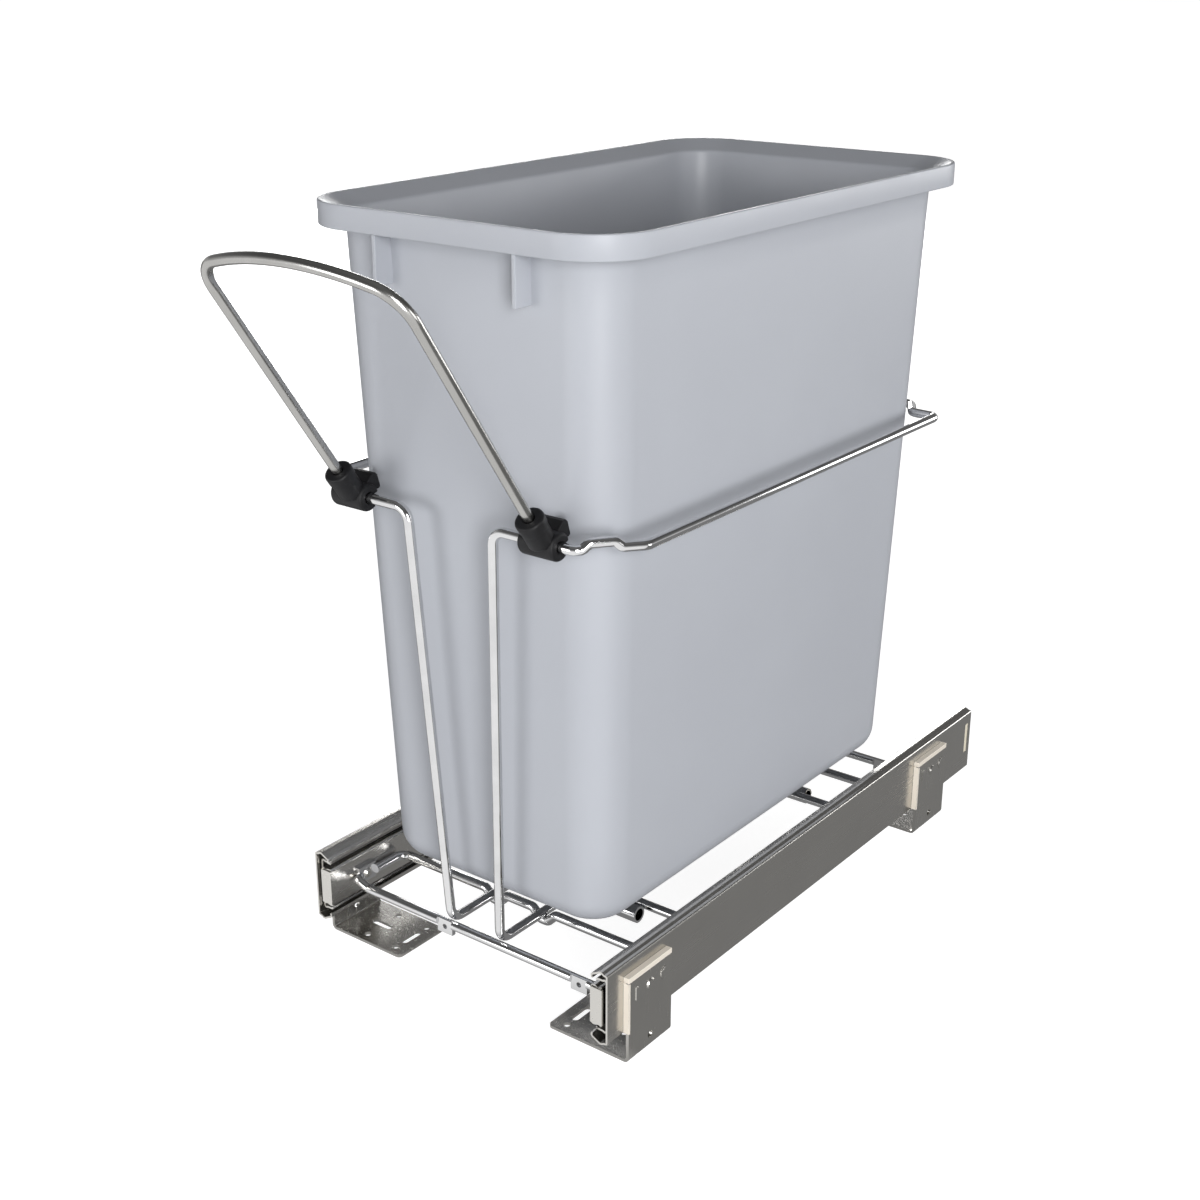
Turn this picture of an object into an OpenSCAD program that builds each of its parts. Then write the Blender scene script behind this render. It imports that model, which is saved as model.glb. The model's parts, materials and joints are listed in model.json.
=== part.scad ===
// Pull-out bin frame: a wire carriage on two ball-bearing slides, with a bin and a fold-down handle.
// +Y runs to the back of the cabinet and +Z is up. The origin is on the cabinet floor,
// at the middle of the rectangle of floor bolts, so the carriage pulls out towards -Y.

/* [Slides] */
// Length of the slides
slide_len = 450; // [400:1:500]
// Height of the slides
slide_h = 46; // [45:0.5:48]
// Thickness of a closed slide
slide_t = 12.7; // [12.6:0.1:13.6]
// Width over the two slides
slides_w = 233.8; // [230:0.2:260]
// Height of the slides' lower edge above the floor
slide_lift = 18.9; // [12:0.1:30]
// Steel thickness of the slide members
sheet = 1.2; // [1:0.05:1.3]
// Distance that the carriage pulls out
travel = 440; // [300:5:440]
// Diameter of the balls between the outer and middle members
outer_ball_d = 4; // [3.8:0.1:4.2]
// Diameter of the balls between the middle and inner members
inner_ball_d = 3.2; // [3:0.1:3.4]
// Balls in each row
balls_in_row = 10; // [4:1:14]
// Steel thickness of the ball cages
cage_sheet = 0.6; // [0.5:0.05:0.7]
// Length of the ball cages
cage_len = 200; // [120:1:205]
// How far the outer member's flange rises from the web to its crown
crown_rise = 1.6; // [1.2:0.1:1.8]
// How far the lips stay back from the closed slide's inner face
lip_back = 1.7; // [1.4:0.1:2]
// Width of the slot at the slide's rear end
rear_slot_w = 4; // [3:0.5:5]
// Height of the slot at the slide's rear end
rear_slot_h = 23; // [16:1:26]

/* [Floor brackets] */
// Distance between the middles of the front and rear brackets
bracket_pitch = 346; // [260:1:380]
// Distance from the slides' front ends to the middle of the front brackets
bracket_back = 36; // [26:1:60]
// Width of a bracket along the slide
bracket_w = 42; // [40:1:60]
// Height of a bracket
bracket_h = 57; // [54:0.5:60]
// Steel thickness of a bracket
bracket_sheet = 2; // [1.6:0.1:2.4]
// Gap between a bracket's plate and the slide
bracket_gap = 2; // [1.5:0.1:3]
// Depth of a bracket's foot under the carriage
foot_d = 60; // [58:1:70]
// Diameter of the round floor-bolt holes
foot_hole_d = 4.6; // [3.5:0.1:5.5]
// Width of the slots in the foot
foot_slot_w = 4.8; // [4:0.1:5.5]
// Length of the slots in the foot
foot_slot_l = 16.6; // [12:0.2:20]
// Width across the outer round holes of opposite brackets
outer_holes_x = 190.4; // [188:0.2:200]
// Width across the inner round holes of opposite brackets
inner_holes_x = 140.4; // [138:0.2:150]
// Distance between the two round holes of a pair, along the slide
foot_holes_y = 28.7; // [24:0.1:32]
// Diameter of the rivets that hold the brackets to the slides
bracket_rivet_d = 5; // [4:0.1:5.5]
// Diameter of the spare hole low in a bracket's plate
low_hole_d = 4.5; // [3.5:0.1:5]

/* [Carriage wires] */
// Diameter of the carriage wires
wire_d = 6; // [5.5:0.1:6.5]
// Height of the wire grid's middle line above the floor
grid_z = 41.3; // [38:0.1:44]
// Distance between the two long floor wires
long_gap = 39; // [36:0.5:60]
// Distance from the grid's middle to its front and rear bars
bar_y = 179.7; // [170:0.1:185]
// Distance from the grid's middle to the next cross wires
second_y = 137; // [128:0.5:142]
// Distance from the grid's middle to the inner cross wires
third_y = 92; // [70:0.5:110]
// Distance of the grid's middle behind the slides' front ends
grid_back = 200; // [196:0.5:206]
// Height of the front and rear bars' middle line
bar_z = 37.8; // [37:0.1:38.2]
// Bend radius of the uprights
upright_bend = 9; // [8:0.5:12]
// Outside diameter of the short tubes
tube_od = 11; // [10:0.2:11.4]
// Inside diameter of the short tubes
tube_id = 8; // [6:0.2:8.6]
// Length of a short tube
tube_l = 37; // [20:1:50]
// Width over the carriage's door tabs
door_tab_w = 12; // [10:0.5:15]
// Diameter of the screw holes in the door tabs
door_hole_d = 3.4; // [3:0.1:5]

/* [Hoop] */
// Height of the hoop round the bin
hoop_z = 309; // [250:1:340]
// Width between the middles of the hoop's side wires
hoop_w = 225.2; // [223:0.2:250]
// Distance from the bin's front wall, at its top, to the middle of the hoop's front wire
hoop_front_gap = 16.5; // [14:0.25:20]
// Distance from the bin's rear wall, at its top, to the middle of the hoop's rear wire
hoop_rear_gap = 5.75; // [5:0.25:12]
// Width between the tops of the uprights
upright_top_w = 63.2; // [60:0.2:80]

/* [Handle] */
// Diameter of the handle's wire
handle_d = 6.35; // [5.5:0.05:7]
// Width between the middles of the handle's legs
handle_w = 140; // [134:1:145]
// Height of the handle above its hinge, along its legs
handle_rise = 192.1; // [150:0.1:240]
// Radius of the handle's top arc
handle_arc_r = 190; // [150:1:300]
// Radius of the handle's upper corners
handle_corner_r = 22; // [15:0.5:30]
// Lean of the handle from upright, in degrees
handle_lean = 34.25; // [20:0.25:50]
// Distance of the handle's legs in front of the hinge axis
handle_offset = 2.36; // [0:0.02:3]
// Outside diameter of a clamp's barrel
barrel_d = 14; // [13:0.2:15]
// Length of a clamp's barrel
barrel_l = 28.4; // [22:0.2:28.6]
// Outside diameter of a clamp's socket
socket_d = 13.5; // [12.5:0.1:15]
// Length of a clamp's socket from the hinge axis
socket_l = 25.6; // [20:0.2:30]

/* [Bin] */
// Width of the bin's wall just under its rim
bin_top_w = 188; // [180:1:192]
// Depth of the bin's wall just under its rim
bin_top_d = 354.5; // [345:0.5:358]
// Width of the bin at its floor
bin_floor_w = 174; // [160:1:180]
// Depth of the bin at its floor
bin_floor_d = 337.4; // [320:0.2:340]
// Height of the bin from its floor to its rim
bin_h = 413.4; // [350:0.2:450]
// Height of the runners under the bin's floor
runner_h = 15.4; // [8:0.2:20]
// Wall thickness of the bin
bin_wall = 2.5; // [2:0.1:3.5]
// Corner radius of the bin's wall under the rim
bin_corner_r = 30; // [22:0.5:36]
// Radius of the bin's bottom edge
bin_edge_r = 18; // [12:0.5:22]
// How far the rim stands out from the wall
rim_out = 18.2; // [14:0.1:19]
// Corner radius of the rim
rim_corner_r = 41.8; // [36:0.2:48]
// Height of the rim's skirt
skirt_h = 19; // [12:0.5:26]
// Distance of the bin's middle behind the slides' front ends
bin_back = 202.5; // [200:0.5:205]

/* [Hidden] */
$fn = 32;
right = 1;
left = -1;
steel = [0.46, 0.45, 0.43];
chrome = [0.80, 0.80, 0.82];
black_plastic = [0.06, 0.06, 0.06];

// Fits shared by the pieces
ball_gap = 0.25;
seat_gap = 0.1;
drop_gap = 0.3;
bore_gap = 0.08;
rivet_gap = 0.1;

// Places along the cabinet, all from the slides' front ends
slide_front = -bracket_pitch / 2 - bracket_back;
slide_mid_z = slide_lift + slide_h / 2;
grid_y = slide_front + grid_back;
bin_y = slide_front + bin_back;
hinge_y = bin_y - bin_top_d / 2 - hoop_front_gap;
hoop_rear_y = bin_y + bin_top_d / 2 + hoop_rear_gap;

// Slide section: u runs inwards from the outer web, w runs up from mid-height
half_sheet = sheet / 2;
outer_crown_w = slide_h / 2 - half_sheet;
outer_web_w = outer_crown_w - crown_rise;
outer_ball_w = slide_h / 2 - sheet - ball_gap - outer_ball_d / 2;
middle_top_w = outer_ball_w - outer_ball_d / 2 - ball_gap - half_sheet;
inner_ball_w = middle_top_w - half_sheet - ball_gap - inner_ball_d / 2;
inner_top_w = inner_ball_w - inner_ball_d / 2 - ball_gap - half_sheet;
outer_cage_u = sheet + ball_gap + cage_sheet / 2;
middle_web_u = outer_cage_u + cage_sheet / 2 + ball_gap + half_sheet;
inner_cage_u = middle_web_u + half_sheet + ball_gap + cage_sheet / 2;
inner_web_u = slide_t - half_sheet;
outer_ball_u = middle_web_u + 2.6;
inner_ball_u = inner_cage_u + 3.55;
lip_u = slide_t - lip_back - half_sheet;
lip_end_w = middle_top_w + half_sheet + 0.7;
end_back = 3;
member_rear = slide_len - 10;
cage_front = (slide_len - cage_len) / 2 - 5;
ball_pitch = cage_len / balls_in_row;
rear_slot_y = slide_len - 6.3;
inner_face_x = slides_w / 2 - slide_t;
closing_face_t = 1.2;
closing_face_u = 8.4;

// Floor brackets
plate_in = slides_w / 2 + bracket_gap;
plate_out = plate_in + bracket_sheet;
foot_in = plate_out - foot_d;
foot_corner_r = 3;
bracket_bend = 1.4 + bracket_sheet / 2;
x_slot_x = outer_holes_x / 2 + 1;
lance_y = 12.2;
lance_z = slide_mid_z + 2;
lance_w = 5;
lance_h = 9;
rivet_z = slide_mid_z + 1.6;
low_hole_z = 9;
notch_y = 11.5;
notch_w = 3;

// Wire grid
wire_r = wire_d / 2;
side_x = inner_face_x - wire_r - seat_gap;
long_x = long_gap / 2;
dip_z = grid_z - wire_d - seat_gap;
dip_half = 9;
dip_flat = 3;
dip_bend = 3.5;
neck_step = 0.02;
neck_run = 0.15;
corner_bend = 8;
upright_y = bar_y + sqrt(pow(upright_bend + wire_d + 0.2, 2)
    - pow(upright_bend + grid_z - bar_z, 2)) - upright_bend;
tab_t = 2.6;
tab_h = 11;
tab_from = 163;
tab_to = 176;
tube_z = grid_z + wire_r - tube_od / 2 - drop_gap;
tube_y = third_y + wire_r + tube_od / 2 + seat_gap;
tube_in = long_x + dip_half + 0.5;
door_tab_t = 3;
door_tab_h = 9.4;
door_tab_z = bar_z - 2.2;
door_left_x = -24;
door_right_x = 81.5;
frame_rivet_d = 4;
frame_rivet_head = 7;

// Hoop
wave_x = 87.4;
wave_y = 40;
rear_neck_x = 94.5;
rear_neck_y = 19;
rear_in_x = 83.5;

// Handle and clamps
leg_x = handle_w / 2;
arc_v = handle_rise - handle_arc_r;
corner_x = leg_x - handle_corner_r;
corner_v = arc_v + sqrt(pow(handle_arc_r - handle_corner_r, 2) - pow(corner_x, 2));
corner_turn = atan2(corner_v - arc_v, corner_x);
neck_turn = neck_run / handle_corner_r * 180 / PI;
leg_end_v = barrel_d / 2 + 1.5;
jaw_reach = 12;
jaw_t = 3.4;
jaw_w = 18;
slit_h = 1.8;
clamp_screw_d = 3;
clamp_screw_y = 9.6;

// Bin
bin_floor_z = grid_z + wire_r + drop_gap + runner_h;
bin_top_z = bin_floor_z + bin_h;
rim_t = 2.4;
skirt_t = 2.2;
rim_round = 1.6;
runner_w = 12;
runner_l = 190;
fin_t = 2.5;
fin_out = 9.5;
fin_drop = 26;
fin_left_x = -57;
fin_right_x = 42;

// Sheet-metal sections: a line of points with rounded bends, thickened to both sides
function unit(v) = v / norm(v);
function arc_point(c, a, b, turn, f) =
    c + (sin((1 - f) * turn) * a + sin(f * turn) * b) / sin(turn);
function bend(a, b, c, r, n) = let (
    to_a = unit(a - b),
    to_c = unit(c - b),
    half = acos(to_a * to_c) / 2,
    mid = b + unit(to_a + to_c) * r / sin(half),
    from = b + to_a * r / tan(half) - mid,
    to = b + to_c * r / tan(half) - mid
) [for (k = [0:n]) arc_point(mid, from, to, 180 - 2 * half, k / n)];
function bent(p, r, n = 4) = [
    p[0],
    for (i = [1:len(p) - 2]) each bend(p[i - 1], p[i], p[i + 1], r, n),
    p[len(p) - 1]
];
function side_normal(a, b) = let (d = unit(b - a)) [-d[1], d[0]];
function mitre(a, b) = (a + b) / (1 + a * b);
function point_normal(p, i) =
    i == 0 ? side_normal(p[0], p[1])
    : i == len(p) - 1 ? side_normal(p[i - 1], p[i])
    : mitre(side_normal(p[i - 1], p[i]), side_normal(p[i], p[i + 1]));
function shifted(p, d) = [for (i = [0:len(p) - 1]) p[i] + d * point_normal(p, i)];
function reversed(p) = [for (i = [len(p) - 1:-1:0]) p[i]];
function both_ways(p) = concat(p, [for (q = reversed(p)) [q[0], -q[1]]]);
module sheet_section(points, t, r) {
    line = bent(points, r);
    polygon(concat(shifted(line, t / 2), reversed(shifted(line, -t / 2))));
}

// Bent wire: each point is [x, y, z, bend radius], with round bars between true elbows.
// A bar is a hair thinner than an elbow and runs a little way into it, as a drawn wire's neck does.
function place(p) = [p[0], p[1], p[2]];
function near_point(path, i) = place(path[(i + len(path)) % len(path)]);
function turn_at(a, b, c) = acos(unit(b - a) * unit(c - b));
function trim(path, i) = let (r = path[i % len(path)][3])
    r == 0 ? 0
    : r * tan(turn_at(near_point(path, i - 1), near_point(path, i), near_point(path, i + 1)) / 2)
        - neck_run;
module bar(a, b, d) {
    run = b - a;
    translate(a)
        rotate([0, acos(run[2] / norm(run)), atan2(run[1], run[0])])
            cylinder(d = d - neck_step, h = norm(run));
}
module elbow(a, b, c, r, d) {
    turn = turn_at(a, b, c);
    ahead = unit(b - a);
    mid = b + unit(unit(c - b) - ahead) * r / cos(turn / 2);
    out = unit(b - ahead * r * tan(turn / 2) - mid);
    up = cross(out, ahead);
    multmatrix([[out[0], ahead[0], up[0], mid[0]],
            [out[1], ahead[1], up[1], mid[1]],
            [out[2], ahead[2], up[2], mid[2]],
            [0, 0, 0, 1]])
        rotate_extrude(angle = turn)
            translate([r, 0])
                circle(d = d);
}
module wire(path, d, closed = false) {
    count = len(path);
    for (i = [0:count - (closed ? 1 : 2)]) {
        ahead = unit(near_point(path, i + 1) - near_point(path, i));
        bar(near_point(path, i) + ahead * trim(path, i),
            near_point(path, i + 1) - ahead * trim(path, i + 1), d);
    }
    for (i = [0:count - 1])
        if (path[i][3] > 0)
            elbow(near_point(path, i - 1), near_point(path, i), near_point(path, i + 1),
                path[i][3], d);
}

// Everything is drawn for the right side, then mirrored for the left
module on_side(side) {
    mirror([side == left ? 1 : 0, 0, 0])
        children();
}
module in_slide(side) {
    on_side(side)
        translate([slides_w / 2, slide_front, slide_mid_z])
            rotate([90, 0, 180])
                children();
}
module slide_strip(points, t, r, from, to) {
    translate([0, 0, from])
        linear_extrude(to - from)
            sheet_section(points, t, r);
}

// Slide members, outer to inner
module outer_member(side) {
    color(steel)
        in_slide(side)
            difference() {
                slide_strip(both_ways([
                    [lip_u, lip_end_w],
                    [lip_u, outer_crown_w - 2],
                    [outer_ball_u + 2.7, outer_crown_w - 0.7],
                    [outer_ball_u + 1.1, outer_crown_w],
                    [outer_ball_u - 1.2, outer_crown_w],
                    [half_sheet, outer_web_w]
                ]), sheet, 0.9, 0, slide_len);
                for (y = [bracket_back, bracket_back + bracket_pitch])
                    translate([-1, rivet_z - slide_mid_z, y])
                        rotate([0, 90, 0])
                            cylinder(d = bracket_rivet_d + 2 * rivet_gap, h = sheet + 2);
                translate([-1, -rear_slot_h / 2 + 2.8, rear_slot_y - rear_slot_w / 2])
                    cube([sheet + 2, rear_slot_h, rear_slot_w]);
            }
}
module middle_member(side) {
    color(steel)
        in_slide(side)
            slide_strip(both_ways([
                [lip_u, middle_top_w - 1],
                [lip_u - 1, middle_top_w - 0.1],
                [outer_ball_u, middle_top_w],
                [outer_ball_u - 1.5, middle_top_w + 0.7],
                [middle_web_u, middle_top_w - 0.4]
            ]), sheet, 0.7, end_back, member_rear);
}
module inner_member(side) {
    color(steel)
        in_slide(side)
            difference() {
                union() {
                    slide_strip(both_ways([
                        [inner_ball_u - 2.4, inner_top_w + 0.8],
                        [inner_ball_u, inner_top_w],
                        [inner_ball_u + 2.4, inner_top_w + 0.9],
                        [inner_web_u, inner_top_w + 0.9]
                    ]), sheet, 0.9, closing_face_t, member_rear);
                    translate([slide_t - closing_face_u, -inner_top_w, 0.3])
                        cube([closing_face_u, 2 * inner_top_w, closing_face_t]);
                }
                for (end = [-1, 1])
                    rivet_bore(end);
            }
}
module rivet_bore(end) {
    translate([slide_t - sheet - 1, grid_z - slide_mid_z, grid_back + end * (tab_from + tab_to) / 2])
        rotate([0, 90, 0])
            cylinder(d = frame_rivet_d + 2 * rivet_gap, h = sheet + 2);
}

// Ball cages: a strip between two webs, with ears that hold the balls
module cage(side, web_u, ball_u, ball_w, ball_d, ear_u) {
    color(steel)
        in_slide(side)
            difference() {
                slide_strip(both_ways([[ear_u, ball_w], [web_u, ball_w]]),
                    cage_sheet, 0.8, cage_front, cage_front + cage_len);
                for (i = [0:balls_in_row - 1])
                    translate([ball_u, 0, cage_front + ball_pitch * (i + 0.5)])
                        rotate([90, 0, 0])
                            cylinder(d = ball_d + 2 * ball_gap, h = slide_h, center = true);
            }
}
module ball_rows(side, ball_u, ball_w, ball_d) {
    color(chrome)
        in_slide(side)
            for (i = [0:balls_in_row - 1])
                for (row = [-1, 1])
                    translate([ball_u, row * ball_w, cage_front + ball_pitch * (i + 0.5)])
                        sphere(d = ball_d);
}

// Stop behind the members, with its lug in the slot at the slide's rear end
module rear_bumper(side) {
    in_slide(side) {
        translate([sheet + seat_gap, -rear_slot_h / 2 + 2.8, member_rear + 1])
            cube([slide_t - sheet - lip_back - 0.6, rear_slot_h, slide_len - member_rear - 2]);
        translate([0.2, -rear_slot_h / 2 + 2.8 + seat_gap, rear_slot_y - rear_slot_w / 2 + seat_gap])
            cube([sheet + 0.2, rear_slot_h - 2 * seat_gap, rear_slot_w - 2 * seat_gap]);
    }
}
module rear_bumpers() {
    color([0.93, 0.89, 0.78]) {
        rear_bumper(right);
        rear_bumper(left);
    }
}

// Floor bracket: foot, plate, and two flanges folded in to the slide
module slot_cut(x, y, w, l, along_x) {
    shift = (l - w) / 2;
    for (end = [-1, 1])
        translate([x + (along_x ? end * shift : 0), y + (along_x ? 0 : end * shift), -1])
            cylinder(d = w, h = bracket_sheet + 2);
    translate([x - (along_x ? shift : w / 2), y - (along_x ? w / 2 : shift), -1])
        cube([along_x ? 2 * shift : w, along_x ? w : 2 * shift, bracket_sheet + 2]);
}
module plate_bore(y, z, d) {
    translate([plate_in - 1, y, z])
        rotate([0, 90, 0])
            cylinder(d = d, h = bracket_sheet + 2);
}
module half_moon(y, z, facing, h) {
    intersection() {
        translate([0, y - facing * lance_w / 2, z])
            rotate([0, 90, 0])
                cylinder(d = lance_h, h = h);
        translate([0, y - lance_w / 2, z - lance_h / 2])
            cube([h, lance_w, lance_h]);
    }
}
module foot_corner(y_end) {
    translate([foot_in, y_end * bracket_w / 2, -1])
        mirror([0, y_end > 0 ? 1 : 0, 0])
            difference() {
                translate([-1, -1, 0])
                    cube([foot_corner_r + 1, foot_corner_r + 1, bracket_sheet + 2]);
                translate([foot_corner_r, foot_corner_r, -1])
                    cylinder(r = foot_corner_r, h = bracket_sheet + 4);
            }
}
module bracket(side, y_mid) {
    mid = bracket_sheet / 2;
    color(steel)
        on_side(side)
            translate([0, y_mid, 0])
                difference() {
                    union() {
                        translate([0, bracket_w / 2, 0])
                            rotate([90, 0, 0])
                                linear_extrude(bracket_w)
                                    sheet_section([
                                        [foot_in, mid],
                                        [plate_out - mid, mid],
                                        [plate_out - mid, bracket_h - mid],
                                        [slides_w / 2, bracket_h - mid]
                                    ], bracket_sheet, bracket_bend);
                        translate([slides_w / 2, -bracket_w / 2, slide_lift + 0.6])
                            cube([bracket_gap + mid, bracket_sheet,
                                bracket_h - slide_lift - 2 * bracket_sheet - 1.6]);
                        for (end = [-1, 1])
                            translate([slides_w / 2 + seat_gap, 0, 0])
                                half_moon(end * lance_y, lance_z, -end, bracket_gap);
                    }
                    for (end = [-1, 1])
                        translate([plate_out - bracket_sheet + 0.5, 0, 0])
                            half_moon(end * lance_y, lance_z, -end, bracket_sheet);
                    plate_bore(0, rivet_z, bracket_rivet_d + 2 * rivet_gap);
                    plate_bore(0, low_hole_z, low_hole_d);
                    for (end = [-1, 1]) {
                        for (x = [outer_holes_x / 2, inner_holes_x / 2])
                            translate([x, end * foot_holes_y / 2, -1])
                                cylinder(d = foot_hole_d, h = bracket_sheet + 2);
                        translate([plate_out - bracket_sheet - 2, end * notch_y - notch_w / 2, -1])
                            cube([bracket_sheet + 4, notch_w, 2.6]);
                        foot_corner(end);
                    }
                    slot_cut(x_slot_x, 0, foot_slot_w, foot_slot_l, true);
                    slot_cut(inner_holes_x / 2, 0, foot_slot_w, foot_slot_l, false);
                }
}
module bracket_rivets() {
    color(steel)
        for (side = [left, right])
            for (end = [-1, 1])
                on_side(side)
                    translate([slides_w / 2 - sheet, end * bracket_pitch / 2, rivet_z])
                        rotate([0, 90, 0]) {
                            cylinder(d = bracket_rivet_d, h = sheet + bracket_gap + bracket_sheet);
                            translate([0, 0, sheet + bracket_gap + bracket_sheet])
                                cylinder(d1 = bracket_rivet_d + 2.6, d2 = bracket_rivet_d + 1,
                                    h = 0.9);
                        }
}

// Wire frame: two upright-and-hoop wires, and three flat loops that dip under them
module frame_wire(side) {
    x_top = upright_top_w / 2;
    color(chrome)
        on_side(side)
            wire([
                [long_x, grid_y - upright_y, grid_z, upright_bend],
                [x_top, hinge_y, hoop_z, upright_bend],
                [wave_x, hinge_y, hoop_z, 6],
                [wave_x + 6.4, hinge_y + 7.8, hoop_z - 0.6, 5],
                [wave_x + 10.8, hinge_y + 13.1, hoop_z + 2.6, 5],
                [wave_x + 15.4, hinge_y + 18.7, hoop_z + 1.8, 5],
                [wave_x + 19.2, hinge_y + 23.4, hoop_z - 1, 5],
                [hoop_w / 2, slide_front + wave_y, hoop_z, 8],
                [hoop_w / 2, hoop_rear_y - rear_neck_y - 1, hoop_z, 5],
                [rear_neck_x, hoop_rear_y - rear_neck_y, hoop_z, 6],
                [rear_in_x, hoop_rear_y, hoop_z, 8],
                [x_top, hoop_rear_y, hoop_z, upright_bend],
                [long_x, grid_y + upright_y, grid_z, upright_bend]
            ], wire_d, true);
}
function dip(x, y) = [
    [x + dip_half, y, grid_z, dip_bend],
    [x + dip_flat, y, dip_z, dip_bend],
    [x - dip_flat, y, dip_z, dip_bend],
    [x - dip_half, y, grid_z, dip_bend]
];
function cross_run(y) = concat(
    [[side_x, y, grid_z, corner_bend]],
    dip(long_x, y),
    dip(-long_x, y),
    [[-side_x, y, grid_z, corner_bend]]
);
module end_loop(end) {
    near = grid_y + end * tab_from;
    far = grid_y + end * tab_to;
    bar_place = grid_y + end * bar_y;
    wire(concat(
        [[side_x, near, grid_z, 0]],
        cross_run(grid_y + end * second_y),
        [[-side_x, near, grid_z, 0]]
    ), wire_d);
    wire([
        [side_x, far, grid_z, 0],
        [side_x, bar_place, grid_z, 3.4],
        [side_x - 10, bar_place, bar_z, 5],
        [10 - side_x, bar_place, bar_z, 5],
        [-side_x, bar_place, grid_z, 3.4],
        [-side_x, far, grid_z, 0]
    ], wire_d);
    for (side = [left, right])
        on_side(side)
            difference() {
                translate([inner_face_x - tab_t, min(near, far) - 1, grid_z - tab_h / 2])
                    cube([tab_t, tab_to - tab_from + 2, tab_h]);
                translate([inner_face_x - tab_t - 1, (near + far) / 2, grid_z])
                    rotate([0, 90, 0])
                        cylinder(d = frame_rivet_d + 2 * rivet_gap, h = tab_t + 2);
            }
}
module door_tab(x, end) {
    translate([x - door_tab_w / 2, grid_y + end * bar_y - door_tab_t / 2, door_tab_z - door_tab_h / 2])
        cube([door_tab_w, door_tab_t, door_tab_h]);
}
module door_hole(x, end) {
    translate([x, grid_y + end * bar_y, door_tab_z])
        rotate([90, 0, 0])
            cylinder(d = door_hole_d, h = 2 * wire_d, center = true);
}
module bar_flat(x, end) {
    for (face = [-1, 1])
        translate([x - door_tab_w / 2, grid_y + end * bar_y + (face > 0 ? door_tab_t / 2 : -wire_d), 0])
            translate([0, 0, bar_z - wire_d])
                cube([door_tab_w, wire_d - door_tab_t / 2, 2 * wire_d]);
}
module tabbed_loop(end) {
    color(chrome)
        difference() {
            union() {
                difference() {
                    end_loop(end);
                    for (x = [door_left_x, door_right_x])
                        bar_flat(x, end);
                }
                for (x = [door_left_x, door_right_x])
                    door_tab(x, end);
            }
            for (x = [door_left_x, door_right_x])
                door_hole(x, end);
        }
}
module front_loop() {
    tabbed_loop(-1);
}
module rear_loop() {
    tabbed_loop(1);
}
module centre_loop() {
    near = grid_y - third_y;
    far = grid_y + third_y;
    color(chrome)
        wire(concat(cross_run(near), reversed(cross_run(far))), wire_d, true);
}
module tubes(end) {
    color(chrome)
        for (side = [left, right])
            on_side(side)
                translate([tube_in, grid_y + end * tube_y, tube_z])
                    rotate([0, 90, 0])
                        difference() {
                            cylinder(d = tube_od, h = tube_l);
                            translate([0, 0, -1])
                                cylinder(d = tube_id, h = tube_l + 2);
                        }
}
module front_tubes() {
    tubes(-1);
}
module rear_tubes() {
    tubes(1);
}
module frame_rivets() {
    color(steel)
        for (side = [left, right])
            for (end = [-1, 1])
                on_side(side)
                    translate([inner_face_x - tab_t, grid_y + end * (tab_from + tab_to) / 2, grid_z])
                        rotate([0, 90, 0]) {
                            cylinder(d = frame_rivet_d, h = tab_t + sheet);
                            translate([0, 0, -1.4])
                                cylinder(d1 = frame_rivet_d, d2 = frame_rivet_head, h = 1.4);
                            translate([0, 0, tab_t + sheet])
                                cylinder(d = frame_rivet_head - 1, h = 1);
                        }
}

// Handle in its own plane: local y runs up the legs from the hinge axis
module at_hinge() {
    translate([0, hinge_y, hoop_z])
        rotate([90 + handle_lean, 0, 0])
            children();
}
module arc_bar(mid, r, from, turn, thinner) {
    translate(mid)
        rotate([0, 0, from])
            rotate_extrude(angle = turn)
                translate([r, 0])
                    circle(d = handle_d - thinner);
}
module handle_wire() {
    color(chrome)
        at_hinge()
            translate([0, 0, handle_offset]) {
                for (side = [left, right])
                    on_side(side) {
                        translate([leg_x, leg_end_v, 0])
                            rotate([-90, 0, 0])
                                cylinder(d = handle_d, h = corner_v - leg_end_v);
                        arc_bar([corner_x, corner_v], handle_corner_r, -neck_turn,
                            corner_turn + 2 * neck_turn, neck_step);
                    }
                arc_bar([0, arc_v], handle_arc_r, corner_turn, 180 - 2 * corner_turn, 0);
            }
}
module clamp(x) {
    color(black_plastic)
        difference() {
            union() {
                translate([x - barrel_l / 2, hinge_y, hoop_z])
                    rotate([0, 90, 0])
                        cylinder(d = barrel_d, h = barrel_l);
                at_hinge()
                    translate([x, 0, handle_offset])
                        rotate([-90, 0, 0])
                            cylinder(d = socket_d, h = socket_l);
                for (jaw = [-1, 1])
                    translate([x - jaw_w / 2, hinge_y, hoop_z + jaw * (slit_h + jaw_t) / 2 - jaw_t / 2])
                        cube([jaw_w, jaw_reach, jaw_t]);
            }
            translate([x - barrel_l, hinge_y, hoop_z])
                rotate([0, 90, 0])
                    cylinder(d = wire_d + 2 * bore_gap, h = 2 * barrel_l);
            at_hinge()
                translate([x, leg_end_v - seat_gap, handle_offset])
                    rotate([-90, 0, 0])
                        cylinder(d = handle_d + 2 * seat_gap, h = socket_l);
            translate([x - barrel_l, hinge_y + wire_r, hoop_z - slit_h / 2])
                cube([2 * barrel_l, jaw_reach, slit_h]);
            translate([x, hinge_y + clamp_screw_y, hoop_z - barrel_d])
                cylinder(d = clamp_screw_d + 2 * seat_gap, h = 2 * barrel_d);
        }
}
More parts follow.
